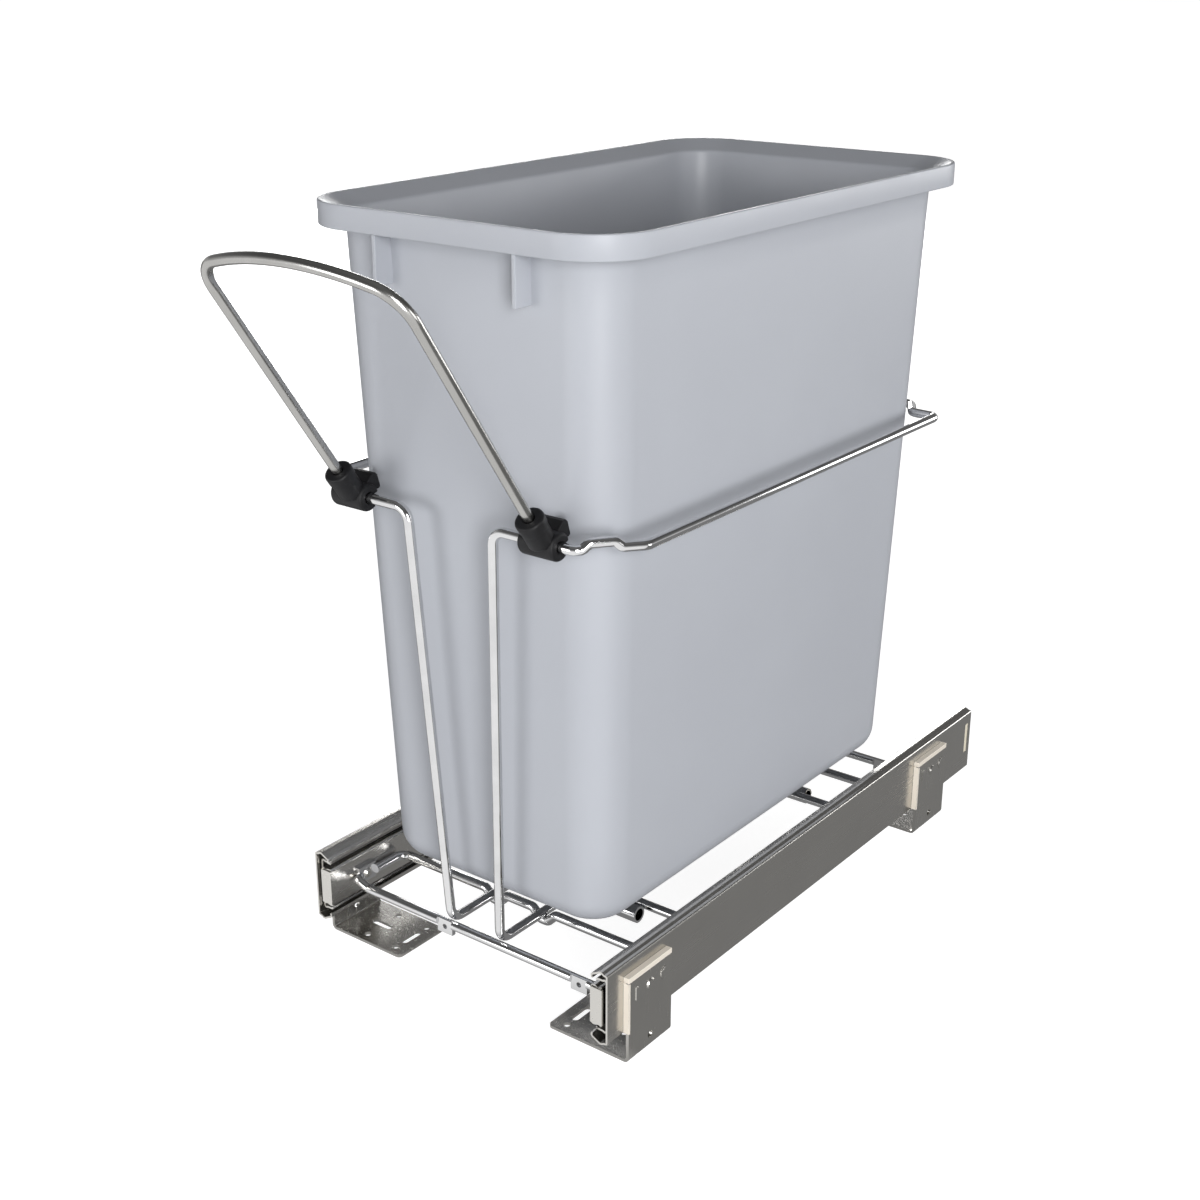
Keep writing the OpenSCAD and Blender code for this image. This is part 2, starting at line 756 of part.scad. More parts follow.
module clamp_screws() {
    head_z = slit_h / 2 + jaw_t;
    color([0.2, 0.2, 0.2])
        for (x = [-leg_x, leg_x])
            translate([x, hinge_y + clamp_screw_y, hoop_z]) {
                translate([0, 0, -head_z])
                    cylinder(d = clamp_screw_d, h = 2 * head_z);
                translate([0, 0, head_z])
                    cylinder(d = 2 * clamp_screw_d - 1.4, h = 1.6);
                translate([0, 0, -head_z - 1.6])
                    cylinder(d = 2 * clamp_screw_d - 1.4, h = 1.6, $fn = 6);
            }
}

// Bin: rings of a rounded rectangle, lofted up the outside, over the rim and down inside
corner_steps = 9;
function ring(w, d, r, z) = [
    for (q = [[1, -1, -90], [1, 1, 0], [-1, 1, 90], [-1, -1, 180]])
        for (k = [0:corner_steps])
            let (a = q[2] + 90 * k / corner_steps)
                [q[0] * (w - r) + r * cos(a), bin_y + q[1] * (d - r) + r * sin(a), z]
];
function rise(z) = (z - bin_floor_z) / bin_h;
function wall_ring(z, out) = let (
    w = bin_floor_w / 2 + (bin_top_w - bin_floor_w) / 2 * rise(z),
    d = bin_floor_d / 2 + (bin_top_d - bin_floor_d) / 2 * rise(z)
) ring(w + out, d + out, max(bin_corner_r + out, 6), z);
function rim_ring(drop, in) = ring(
    bin_top_w / 2 + rim_out - in,
    bin_top_d / 2 + rim_out - in,
    rim_corner_r - in,
    bin_top_z - drop
);
function edge_rings(r, z, out) = [
    for (a = [0:18:90]) wall_ring(z + r * (1 - cos(a)), out - r * (1 - sin(a)))
];
function bin_rings() = concat(
    edge_rings(bin_edge_r, bin_floor_z, 0),
    [
        wall_ring(bin_top_z - rim_t - 1, 0),
        wall_ring(bin_top_z - rim_t, 1),
        rim_ring(rim_t, skirt_t + 1),
        rim_ring(rim_t + 1, skirt_t),
        rim_ring(skirt_h, skirt_t + 1),
        rim_ring(skirt_h, 2),
        rim_ring(skirt_h - 1.5, 1.1),
        rim_ring(rim_round, 0),
        rim_ring(rim_round * 0.3, rim_round * 0.3),
        rim_ring(0, rim_round),
        wall_ring(bin_top_z, 0.8),
        wall_ring(bin_top_z - 0.5, -0.8),
        wall_ring(bin_top_z - 2.5, -bin_wall)
    ],
    reversed(edge_rings(bin_edge_r - bin_wall, bin_floor_z + bin_wall, -bin_wall))
);
module loft(rings) {
    n = len(rings[0]);
    last = len(rings) - 1;
    polyhedron(
        points = [for (r = rings) each r],
        faces = concat(
            [[for (j = [0:n - 1]) j]],
            [for (i = [0:last - 1]) for (j = [0:n - 1]) [i * n + j, (i + 1) * n + j,
                (i + 1) * n + (j + 1) % n]],
            [for (i = [0:last - 1]) for (j = [0:n - 1]) [i * n + j,
                (i + 1) * n + (j + 1) % n, i * n + (j + 1) % n]],
            [[for (j = [n - 1:-1:0]) last * n + j]]
        )
    );
}
module bin() {
    fin_back = bin_y - bin_top_d / 2 + 1.6;
    color([0.68, 0.70, 0.74]) {
        loft(bin_rings());
        for (x = [fin_left_x, fin_right_x])
            translate([x - fin_t / 2, fin_back - fin_out - 1, bin_top_z - skirt_h - fin_drop])
                cube([fin_t, fin_out + 1, skirt_h + fin_drop - rim_t / 2]);
        for (side = [left, right])
            translate([side * long_x - runner_w / 2, bin_y - runner_l / 2, bin_floor_z - runner_h])
                cube([runner_w, runner_l, runner_h + 1]);
    }
}

bin();
handle_wire();
clamp(-leg_x);  // left_clamp
clamp(leg_x);  // right_clamp
clamp_screws();
frame_wire(left);  // left_frame_wire
frame_wire(right);  // right_frame_wire
front_loop();
centre_loop();
rear_loop();
front_tubes();
rear_tubes();
frame_rivets();
outer_member(left);  // left_outer_member
outer_member(right);  // right_outer_member
middle_member(left);  // left_middle_member
middle_member(right);  // right_middle_member
inner_member(left);  // left_inner_member
inner_member(right);  // right_inner_member
cage(left, outer_cage_u, outer_ball_u, outer_ball_w, outer_ball_d, lip_u - 2.2);  // left_outer_cage
cage(right, outer_cage_u, outer_ball_u, outer_ball_w, outer_ball_d, lip_u - 2.2);  // right_outer_cage
cage(left, inner_cage_u, inner_ball_u, inner_ball_w, inner_ball_d, lip_u - 0.2);  // left_inner_cage
cage(right, inner_cage_u, inner_ball_u, inner_ball_w, inner_ball_d, lip_u - 0.2);  // right_inner_cage
ball_rows(left, outer_ball_u, outer_ball_w, outer_ball_d);  // left_outer_balls
ball_rows(right, outer_ball_u, outer_ball_w, outer_ball_d);  // right_outer_balls
ball_rows(left, inner_ball_u, inner_ball_w, inner_ball_d);  // left_inner_balls
ball_rows(right, inner_ball_u, inner_ball_w, inner_ball_d);  // right_inner_balls
bracket(left, -bracket_pitch / 2);  // front_left_bracket
bracket(right, -bracket_pitch / 2);  // front_right_bracket
bracket(left, bracket_pitch / 2);  // rear_left_bracket
bracket(right, bracket_pitch / 2);  // rear_right_bracket
bracket_rivets();
rear_bumpers();
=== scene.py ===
"""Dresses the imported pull-out bin frame: finishes, bin, clamps, wires, slides, brackets, light, camera."""

import json
import math

import bmesh
import bpy
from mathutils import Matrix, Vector


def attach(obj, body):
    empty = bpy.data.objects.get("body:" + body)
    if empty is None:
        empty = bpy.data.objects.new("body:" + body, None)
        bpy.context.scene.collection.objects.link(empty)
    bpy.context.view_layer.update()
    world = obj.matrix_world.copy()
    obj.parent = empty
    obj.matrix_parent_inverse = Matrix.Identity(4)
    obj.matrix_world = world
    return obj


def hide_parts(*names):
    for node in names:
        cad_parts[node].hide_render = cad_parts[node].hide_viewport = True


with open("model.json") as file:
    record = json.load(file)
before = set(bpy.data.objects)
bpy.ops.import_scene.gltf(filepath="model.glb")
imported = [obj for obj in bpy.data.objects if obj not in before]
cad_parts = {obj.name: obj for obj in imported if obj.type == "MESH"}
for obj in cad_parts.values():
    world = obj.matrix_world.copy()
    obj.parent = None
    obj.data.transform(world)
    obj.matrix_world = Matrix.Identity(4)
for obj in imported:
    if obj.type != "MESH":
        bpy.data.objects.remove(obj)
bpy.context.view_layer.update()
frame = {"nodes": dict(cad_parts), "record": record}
MM = 0.001
SIDES = ((-1, "left"), (1, "right"))

# How finely rounds are cut, how soft a plate's edges are, and how much of a leg a bend may take
CORNER_STEPS, EDGE_STEPS, TUBE_EDGE_STEPS, TURN_STEPS, BEND_STEPS = 20, 10, 6, 56, 6
WIRE_BEND_STEPS, WIRE_SIDES = 8, 20
SLAB_EDGE = 0.4
BEND_SHARE = 0.45

# Camera, solved from the straight edges of the slides and the bin
CAMERA_AT = (0.62692, -0.87957, 0.61565)
CAMERA_TURN = math.radians(37.54)
CAMERA_DOWN = math.radians(21.07)
CAMERA_LENS = 52.73
CAMERA_SENSOR = 36.0

# Slides, hoop and handle, in millimetres in the frame's own axes
SLIDE_FRONT = -209.0
HINGE_BACK = 8.75
HINGE_Y = SLIDE_FRONT + HINGE_BACK
HOOP_Z = 309.0
HANDLE_LEAN = math.radians(34.25)
HANDLE_OFFSET = 2.36

# Bin, with a rim that falls inwards, a skirt, two fins under the rim's front and two runners under the floor
BIN_BACK = 202.5
BIN_Y = SLIDE_FRONT + BIN_BACK
BIN_TOP_W, BIN_TOP_D = 197.0, 363.5
BIN_FLOOR_W, BIN_FLOOR_D = 174.0, 337.4
BIN_FLOOR_Z, BIN_H = 60.0, 413.4
BIN_WALL, BIN_CORNER_R, BIN_EDGE_R = 2.5, 28.0, 18.0
RIM_OUT, RIM_CORNER_R, RIM_T, SKIRT_H, SKIRT_T = 13.7, 39.0, 2.4, 13.8, 2.2
RIM_FALL, RIM_ROUND = 6.8, 1.0
FIN_X, FIN_T, FIN_DROP = 49.2, 2.5, 28.0
RUNNER_X, RUNNER_W, RUNNER_L, RUNNER_H = 19.5, 12.0, 190.0, 15.4
FIN_SINK, FIN_SHOULDER, RUNNER_SINK = 0.3, 2.0, 1.0
LEAST_CORNER_R = 6.0
BIN_STEPS = 12

# Rim's section, as drops from the bin's top and insets from the rim's outline
RIM_INSIDE = [(RIM_T + 1, SKIRT_T + 1.2), (RIM_T + 1.8, SKIRT_T + 0.2)]
SKIRT_INSIDE = [(SKIRT_H - 0.4, SKIRT_T + 0.9), (SKIRT_H, SKIRT_T + 0.6)]
SKIRT_FOOT = [(SKIRT_H, 0.5), (SKIRT_H - 0.2, 0.15), (SKIRT_H - 0.6, 0)]
RIM_CROWN = [(0.2, RIM_T), (0.6, RIM_T + 1)]

# Where the wall meets the rim, as heights from the rim's inner edge and outsets from the wall
UNDER_RIM = [(-RIM_T - 1, 0), (-RIM_T + 0.2, 0.8)]
OVER_RIM = [(0.5, 2 - BIN_WALL), (-0.2, 0.6 - BIN_WALL), (-1.5, -BIN_WALL)]

# Slide's outer member: u runs in from its web, w up from mid-height, e back from its front end
SLIDES_W, SLIDE_LEN, SLIDE_MID_Z = 233.8, 450.0, 41.9
SHEET, BEND_R = 1.2, 0.7
WEB_W, CROWN_W, LIP_U, BALL_U = 22.4, 23.6, 11.5, 5.0
REAR_SLOT_E, REAR_SLOT_W, REAR_SLOT_LOW, REAR_SLOT_HIGH = 443.7, 4.0, -8.7, 14.3
SLOT_REACH = 3.0
STEEL_SHARP = math.radians(25)

# Half of its section, from the lip round the race to the web, as u and w
RACE = [(LIP_U - 0.3, CROWN_W - 5.4), (LIP_U, CROWN_W - 3.2), (LIP_U - 1, CROWN_W - 2.5),
        (BALL_U + 0.6, CROWN_W), (BALL_U - 0.7, CROWN_W), (BALL_U - 2.4, WEB_W + 0.2), (SHEET / 2, WEB_W)]

# Frame wires: floor wire under the bin, uprights, hoop with a neck at the back
WIRE_R, LONG_X, GRID_Y, GRID_Z = 3.0, 19.5, -9.0, 41.3
UPRIGHT_X, UPRIGHT_Y, UPRIGHT_BEND = 31.6, 179.35, 9.0
HOOP_X, HOOP_REAR_Y, HOOP_BEND = 112.6, 176.5, 8.0
NECK_X, NECK_Y, NECK_STEP, NECK_BENDS, REAR_IN_X = 94.5, 19.0, 1.0, (5.0, 6.0), 83.5

# The hoop's wave: steps in x, y and z from its start, with bend radii
WAVE_X, WAVE_END = 87.4, 40.0
WAVE = [(0, 0, 0, 5), (3, 3.7, 0, 3.5), (5.4, 6.6, 3.4, 3.5), (14.1, 17.2, 3.6, 3.5), (16.8, 20.4, 0.2, 3.5)]

# Floor brackets: the flanges that close the gap to the slide, and the half-moon lances
BRACKET_PITCH, BRACKET_W, BRACKET_TOP, PLATE_OUT = 346.0, 42.0, 57.0, 120.9
FLANGE_T, FLANGE_FOOT, FRONT_T, SEAM, PROUD, FLANGE_EDGE = 3.4, 19.5, 1.6, 0.35, 0.05, 0.25
LANCE_Y, LANCE_Z, LANCE_W, LANCE_R = 12.2, 43.9, 5.0, 4.5
LANCE_T, LANCE_SINK, LANCE_EDGE, LANCE_STEP = 1.5, 0.1, 0.5, 15

# Clamps between the handle and the hoop's front wire
LEG_X = 70.0
WIRE_BORE_R, LEG_BORE_R = 3.3, 3.3
BARREL_L, BARREL_R, BARREL_SHIFT = 24.4, 8.1, 3.1
SOCKET_L, SOCKET_R, COLLAR_R = 24.0, 7.7, 8.3
JAW_W, JAW_SLIT, JAW_SHIFT = 15.0, 22.0, 1.0
BARREL_EDGE, SOCKET_EDGE, SOCKET_START = 2.0, 1.6, 5.0
BORE_EDGE, MOUTH_EDGE = 0.5, 0.6
COLLAR_NECK = [(0.52, 0.0), (0.60, 0.25), (0.68, 5 / 6)]
PLASTIC_SHARP = math.radians(40)
EAR = [(1.5, 2.2), (11.6, 2.4), (12.8, 3.6), (10.6, 11.2), (9.0, 12.6), (6.6, 12.4), (1.5, 7.6)]
LIP = [(1.5, -2.0), (1.5, -6.6), (4.6, -7.0), (11.4, -5.4), (12.6, -3.6), (11.8, -2.0)]

# Light: the floor mirrors bright in front of the part and dark behind it, as in a dark studio
FLOOR_GLOW = (0.5, 1.5, 0.88, 1.0)
FLOOR_FADE_AXIS = (0.0, 1.0, 0.0)
FLOOR_FADE = (-0.24, -0.18, 1.05, 0.24)
FLOOR_HALF, FLOOR_MATT = 14.0, 0.45
ROOM_LEVEL = 0.6

# The room's grey from below to overhead, as heights and levels between its two ends
ROOM_ENDS = (0.95, 0.30)
ROOM_STOPS = ((0.14, 0.95), (0.3, 0.34), (0.55, 0.16), (0.8, 0.22))

# Soft boxes: name, place, aim, size and power
LIGHTS = [("key", (2.0, -1.75, 0.8), (0, 0, 0.24), (0.8, 1.5), 60),
          ("side", (2.6, 0.5, 0.6), (0, 0, 0.2), (0.9, 1.1), 9),
          ("front", (-0.9, -2.6, 0.5), (0, 0, 0.2), (1.3, 1.0), 22),
          ("behind", (-1.9, 2.3, 0.6), (0, 0, 0.2), (1.3, 1.2), 42),
          ("far_side", (1.4, 2.6, 0.5), (0, 0, 0.2), (0.9, 0.9), 14)]


class Finish:
    """A node material built up from a Principled shader, with helpers for grain, roughness and bump."""

    def __init__(self, name, color, roughness, metallic=0.0, **extra):
        self.material = bpy.data.materials.new(name)
        self.material.use_nodes = True
        self.tree = self.material.node_tree
        self.shader = self.tree.nodes["Principled BSDF"]
        self.put("Base Color", (*color, 1.0))
        self.put("Roughness", roughness)
        self.put("Metallic", metallic)
        for socket, value in extra.items():
            self.put(socket.replace("_", " "), value)

    def put(self, socket, value):
        self.shader.inputs[socket].default_value = value

    def node(self, kind, **settings):
        made = self.tree.nodes.new(kind)
        for key, value in settings.items():
            if hasattr(made, key):
                setattr(made, key, value)
            else:
                made.inputs[key.replace("_", " ")].default_value = value
        return made

    def link(self, a, b):
        self.tree.links.new(a, b)

    def noise(self, scale, stretch=(1, 1, 1), detail=3.0):
        place = self.node("ShaderNodeTexCoord")
        mapping = self.node("ShaderNodeMapping", Scale=stretch)
        noise = self.node("ShaderNodeTexNoise", Scale=scale, Detail=detail)
        self.link(place.outputs["Object"], mapping.inputs["Vector"])
        self.link(mapping.outputs["Vector"], noise.inputs["Vector"])
        return noise.outputs["Fac"]

    def spread(self, source, low, high):
        ramp = self.node("ShaderNodeMapRange", From_Min=0.3, From_Max=0.7, To_Min=low, To_Max=high)
        self.link(source, ramp.inputs["Value"])
        return ramp.outputs["Result"]

    def vary_roughness(self, source, low, high):
        self.link(self.spread(source, low, high), self.shader.inputs["Roughness"])
        return self

    def vary_color(self, source, dark, light):
        mix = self.node("ShaderNodeMix", data_type="RGBA")
        mix.inputs[6].default_value = (*dark, 1.0)
        mix.inputs[7].default_value = (*light, 1.0)
        self.link(self.spread(source, 0.0, 1.0), mix.inputs["Factor"])
        self.link(mix.outputs[2], self.shader.inputs["Base Color"])
        return self

    def bump(self, source, strength, distance):
        made = self.node("ShaderNodeBump", Strength=strength, Distance=distance)
        self.link(source, made.inputs["Height"])
        self.link(made.outputs["Normal"], self.shader.inputs["Normal"])
        return self


def grey_plastic():
    finish = Finish("moulded_grey", (0.43, 0.447, 0.487), 0.38, IOR=1.47)
    grain = finish.noise(900.0)
    finish.vary_color(finish.noise(7.0), (0.422, 0.438, 0.478), (0.438, 0.456, 0.496))
    finish.vary_roughness(finish.noise(30.0), 0.36, 0.46)
    return finish.bump(grain, 0.03, 0.0001).material


def black_plastic():
    finish = Finish("moulded_black", (0.008, 0.008, 0.009), 0.5, Specular_IOR_Level=0.25)
    grain = finish.noise(1400.0)
    finish.vary_color(finish.noise(60.0), (0.006, 0.006, 0.007), (0.010, 0.010, 0.011))
    finish.vary_roughness(finish.noise(90.0), 0.42, 0.55)
    return finish.bump(grain, 0.10, 0.0002).material


def chrome_plate():
    finish = Finish("chrome_plate", (0.78, 0.78, 0.79), 0.08, metallic=1.0)
    finish.vary_color(finish.noise(45.0), (0.66, 0.66, 0.665), (0.74, 0.74, 0.745))
    finish.vary_roughness(finish.noise(40.0), 0.06, 0.10)
    return finish.material


def satin_nickel():
    finish = Finish("satin_nickel", (0.42, 0.415, 0.40), 0.24, metallic=1.0)
    finish.vary_color(finish.noise(35.0), (0.42, 0.415, 0.40), (0.47, 0.465, 0.45))
    finish.vary_roughness(finish.noise(60.0), 0.20, 0.26)
    return finish.material


def rolled_steel(name, dark, light, rough_low, rough_high, stretch, metallic=1.0):
    finish = Finish(name, light, rough_high, metallic=metallic)
    grain = finish.noise(500.0, stretch)
    finish.vary_color(finish.noise(22.0), dark, light)
    finish.vary_roughness(grain, rough_low, rough_high)
    return finish.bump(grain, 0.004, 0.0001).material


def cream_plastic():
    finish = Finish("cream_plastic", (0.80, 0.74, 0.60), 0.4)
    finish.vary_color(finish.noise(80.0), (0.76, 0.70, 0.56), (0.82, 0.76, 0.62))
    return finish.bump(finish.noise(1200.0), 0.06, 0.0002).material


ALONG_Y = (1.0, 0.03, 1.0)
FINISHES = {
    "grey_plastic": grey_plastic(),
    "black_plastic": black_plastic(),
    "chrome_wire": chrome_plate(),
    "satin_nickel": satin_nickel(),
    "slide_steel": rolled_steel("rolled_slide_steel", (0.60, 0.585, 0.555), (0.63, 0.615, 0.585),
                                0.23, 0.28, ALONG_Y),
    "bracket_steel": rolled_steel("pressed_bracket_steel", (0.62, 0.605, 0.575), (0.65, 0.635, 0.60),
                                  0.20, 0.28, (1.0, 1.0, 0.1)),
    # Flange strips: steel whose light cream colour is a painted reflection of the bright floor in front of
    # the brackets
    "flange_painted_reflection": rolled_steel("flange_steel_painted_reflection", (0.87, 0.80, 0.70), (0.91, 0.84, 0.74),
                                 0.36, 0.44, (1.0, 1.0, 1.0), metallic=0.15),
    "dark_steel": rolled_steel("blackened_steel", (0.05, 0.05, 0.05), (0.08, 0.08, 0.08),
                               0.3, 0.45, (1, 1, 1)),
    "ball_steel": rolled_steel("bearing_steel", (0.70, 0.70, 0.70), (0.78, 0.78, 0.78),
                               0.05, 0.12, (1, 1, 1)),
    "cream_plastic": cream_plastic(),
}


def finish_cad_nodes():
    """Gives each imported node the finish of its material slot."""
    slot_of = {part["node"]: part["material_slot"] for part in frame["record"]["subparts"]}
    for name, obj in frame["nodes"].items():
        obj.data.materials.clear()
        obj.data.materials.append(FINISHES[slot_of[name]])


def face_outward(mesh):
    """Turns the faces of a closed mesh outwards."""
    shell = bmesh.new()
    shell.from_mesh(mesh)
    bmesh.ops.recalc_face_normals(shell, faces=shell.faces)
    shell.to_mesh(mesh)
    shell.free()


def mesh_piece(name, verts, faces, finish, body, smooth=True):
    """A piece from points in millimetres."""
    mesh = bpy.data.meshes.new(name)
    mesh.from_pydata([[c * MM for c in v] for v in verts], [], faces)
    mesh.validate()
    face_outward(mesh)
    obj = bpy.data.objects.new(name, mesh)
    bpy.context.collection.objects.link(obj)
    mesh.materials.append(FINISHES[finish])
    for face in mesh.polygons:
        face.use_smooth = smooth
    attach(obj, body)
    return obj


def rounded_ring(half_w, half_d, r, z):
    """Points of a level rounded rectangle about the bin's middle."""
    ring = []
    for sx, sy, start in ((1, -1, -90), (1, 1, 0), (-1, 1, 90), (-1, -1, 180)):
        for k in range(CORNER_STEPS + 1):
            a = math.radians(start + 90 * k / CORNER_STEPS)
            ring.append((sx * (half_w - r) + r * math.cos(a),
                         BIN_Y + sy * (half_d - r) + r * math.sin(a), z))
    return ring


def wall_ring(z, out):
    """Ring at a height of the tapered wall, set out from its outside."""
    share = (z - BIN_FLOOR_Z) / BIN_H
    half_w = (BIN_FLOOR_W + (BIN_TOP_W - BIN_FLOOR_W) * share) / 2 + out
    half_d = (BIN_FLOOR_D + (BIN_TOP_D - BIN_FLOOR_D) * share) / 2 + out
    return rounded_ring(half_w, half_d, max(BIN_CORNER_R + out, LEAST_CORNER_R), z)


def rim_ring(drop, inset):
    """Ring inside the rim's outline, dropped from the bin's top."""
    return rounded_ring(BIN_TOP_W / 2 + RIM_OUT - inset, BIN_TOP_D / 2 + RIM_OUT - inset,
                        RIM_CORNER_R - inset, BIN_FLOOR_Z + BIN_H - drop)


def edge_rings(r, z, out):
    """Rings that round the wall into the floor."""
    rings = []
    for k in range(EDGE_STEPS + 1):
        a = math.radians(90 * k / EDGE_STEPS)
        rings.append(wall_ring(z + r * (1 - math.cos(a)), out - r * (1 - math.sin(a))))
    return rings


def bin_rings():
    """Rings up the outside, round the rim and its skirt, and down the inside to the floor."""
    top = BIN_FLOOR_Z + BIN_H
    rings = edge_rings(BIN_EDGE_R, BIN_FLOOR_Z, 0)
    rings += [wall_ring(BIN_FLOOR_Z + BIN_H * k / BIN_STEPS, 0) for k in range(2, BIN_STEPS)]
    rings += [wall_ring(top - RIM_FALL + up, out) for up, out in UNDER_RIM]
    rings += [rim_ring(drop, inset) for drop, inset in RIM_INSIDE + SKIRT_INSIDE + SKIRT_FOOT]
    for k in range(TUBE_EDGE_STEPS + 1):
        a = math.radians(90 * k / TUBE_EDGE_STEPS)
        rings.append(rim_ring(RIM_ROUND * (1 - math.sin(a)), RIM_ROUND * (1 - math.cos(a))))
    rings += [rim_ring(drop, inset) for drop, inset in RIM_CROWN]
    rings += [wall_ring(top - RIM_FALL + up, out) for up, out in OVER_RIM]
    rings += [wall_ring(top - BIN_H * k / BIN_STEPS, -BIN_WALL) for k in range(1, BIN_STEPS - 1)]
    rings += list(reversed(edge_rings(BIN_EDGE_R - BIN_WALL, BIN_FLOOR_Z + BIN_WALL, -BIN_WALL)))
    return rings


def loft(rings):
    """Points and faces of a closed skin through rings of equal counts."""
    n = len(rings[0])
    verts = [p for ring in rings for p in ring]
    faces = [list(reversed(range(n)))]
    for i in range(len(rings) - 1):
        for j in range(n):
            k = (j + 1) % n
            faces.append([i * n + j, i * n + k, (i + 1) * n + k, (i + 1) * n + j])
    faces.append([(len(rings) - 1) * n + j for j in range(n)])
    return verts, faces


def moulded_bin():
    verts, faces = loft(bin_rings())
    obj = mesh_piece("bin_shell", verts, faces, "grey_plastic", "bin_body")
    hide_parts("bin")
    for side, label in SIDES:
        bin_fin("bin_fin_" + label, side * FIN_X)
        bin_runner("bin_runner_" + label, side * RUNNER_X)


def slab(name, outline, x, thick, finish, body, edge=SLAB_EDGE):
    """A plate across X with soft edges: the outline is in Y and Z."""
    n = len(outline)
    verts = [(x + half * thick / 2, y, z) for half in (-1, 1) for y, z in outline]
    faces = [list(reversed(range(n))), list(range(n, 2 * n))]
    faces += [[j, (j + 1) % n, n + (j + 1) % n, n + j] for j in range(n)]
    obj = mesh_piece(name, verts, faces, finish, body, smooth=False)
    soften = obj.modifiers.new("soften", "BEVEL")
    soften.width, soften.segments = edge * MM, 2


def bin_fin(name, x):
    """A fin between the wall and the skirt, under the rim's front."""
    front = BIN_Y - BIN_TOP_D / 2
    top = BIN_FLOOR_Z + BIN_H
    foot = SKIRT_H + FIN_DROP
    lean = foot / BIN_H * (BIN_TOP_D - BIN_FLOOR_D) / 2
    out = RIM_OUT - SKIRT_T + FIN_SINK
    slab(name, [(front - out, top - foot), (front + lean + BIN_WALL / 2, top - foot),
                (front + BIN_WALL / 2, top - RIM_FALL - RIM_T), (front - out, top - RIM_T - FIN_SHOULDER)],
         x, FIN_T, "grey_plastic", "bin_body")


def bin_runner(name, x):
    """A runner under the floor, which rests on the wires."""
    low, high = BIN_FLOOR_Z - RUNNER_H, BIN_FLOOR_Z + RUNNER_SINK
    half = RUNNER_L / 2
    slab(name, [(BIN_Y - half, low), (BIN_Y + half, low), (BIN_Y + half, high), (BIN_Y - half, high)],
         x, RUNNER_W, "grey_plastic", "bin_body")


def turned(outline, start, axis, side, sweep=(0, 360)):
    """Turns a closed outline of points (along, radius) about an axis; returns points and faces."""
    start, axis, side = Vector(start), Vector(axis), Vector(side)
    up = axis.cross(side)
    whole = sweep[1] - sweep[0] == 360
    count = TURN_STEPS if whole else TURN_STEPS + 1
    n = len(outline)
    verts = []
    for k in range(count):
        a = math.radians(sweep[0] + (sweep[1] - sweep[0]) * k / TURN_STEPS)
        out = side * math.cos(a) + up * math.sin(a)
        verts += [tuple(start + axis * along + out * r) for along, r in outline]
    faces = [[k * n + j, k * n + (j + 1) % n, (k + 1) % count * n + (j + 1) % n, (k + 1) % count * n + j]
             for k in range(TURN_STEPS) for j in range(n)]
    if not whole:
        faces += [list(range(n)), [(count - 1) * n + j for j in reversed(range(n))]]
    return verts, faces


def rounded_tube(length, bore, r, edge, collar=None):
    """Outline of a tube with rounded ends; a collar widens its far end."""
    turn = [math.radians(90 * k / TUBE_EDGE_STEPS) for k in range(TUBE_EDGE_STEPS + 1)]
    near = [(edge * (1 - math.sin(a)), r - edge * (1 - math.cos(a))) for a in reversed(turn)]
    top = collar or r
    far = [(length - edge * (1 - math.sin(a)), top - edge * (1 - math.cos(a))) for a in turn]
    neck = [(length * at, r + (top - r) * share) for at, share in COLLAR_NECK] if collar else []
    start = [(BORE_EDGE, bore), (0, bore + BORE_EDGE)]
    mouth = [(length, bore + MOUTH_EDGE), (length - MOUTH_EDGE, bore)]
    return start + near + neck + far + mouth


def clamp(side, label):
    """Moulded clamp: a barrel round the hoop, split at the back, and a collared socket for the leg."""
    leg = side * LEG_X
    hinge = Vector((leg, HINGE_Y, HOOP_Z))
    ahead = Vector((0, -math.sin(HANDLE_LEAN), math.cos(HANDLE_LEAN)))
    across = Vector((0, -math.cos(HANDLE_LEAN), -math.sin(HANDLE_LEAN)))
    left_end = hinge + Vector((-BARREL_SHIFT - BARREL_L / 2, 0, 0))
    barrel_tube = rounded_tube(BARREL_L, WIRE_BORE_R, BARREL_R, BARREL_EDGE)
    verts, faces = turned(barrel_tube, left_end, (1, 0, 0), (0, 1, 0), (JAW_SLIT, 360 - JAW_SLIT))
    socket_tube = rounded_tube(SOCKET_L - SOCKET_START, LEG_BORE_R, SOCKET_R, SOCKET_EDGE, COLLAR_R)
    socket_foot = hinge + across * HANDLE_OFFSET + ahead * SOCKET_START
    socket_verts, socket_faces = turned(socket_tube, socket_foot, ahead, (1, 0, 0))
    faces += [[i + len(verts) for i in face] for face in socket_faces]
    verts += socket_verts
    obj = mesh_piece("clamp_body_" + label, verts, faces, "black_plastic", "handle")
    obj.data.set_sharp_from_angle(angle=PLASTIC_SHARP)
    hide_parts(label + "_clamp")
    for name, outline in (("ear", EAR), ("lip", LIP)):
        jaw = [(HINGE_Y + y, HOOP_Z + z) for y, z in outline]
        jaw_x = leg - BARREL_SHIFT + JAW_SHIFT
        slab("clamp_" + name + "_" + label, jaw, jaw_x, JAW_W, "black_plastic", "handle")


def corner(a, b, c, r, steps):
    """Points of the arc that rounds the corner at b."""
    a, b, c = Vector(a), Vector(b), Vector(c)
    back, ahead = (a - b).normalized(), (c - b).normalized()
    half = back.angle(ahead) / 2
    reach = min(r / math.tan(half), BEND_SHARE * (a - b).length, BEND_SHARE * (c - b).length)
    mid = b + (back + ahead).normalized() * reach / math.cos(half)
    start, end = b + back * reach - mid, b + ahead * reach - mid
    return [mid + start.lerp(end, k / steps).normalized() * start.length for k in range(steps + 1)]


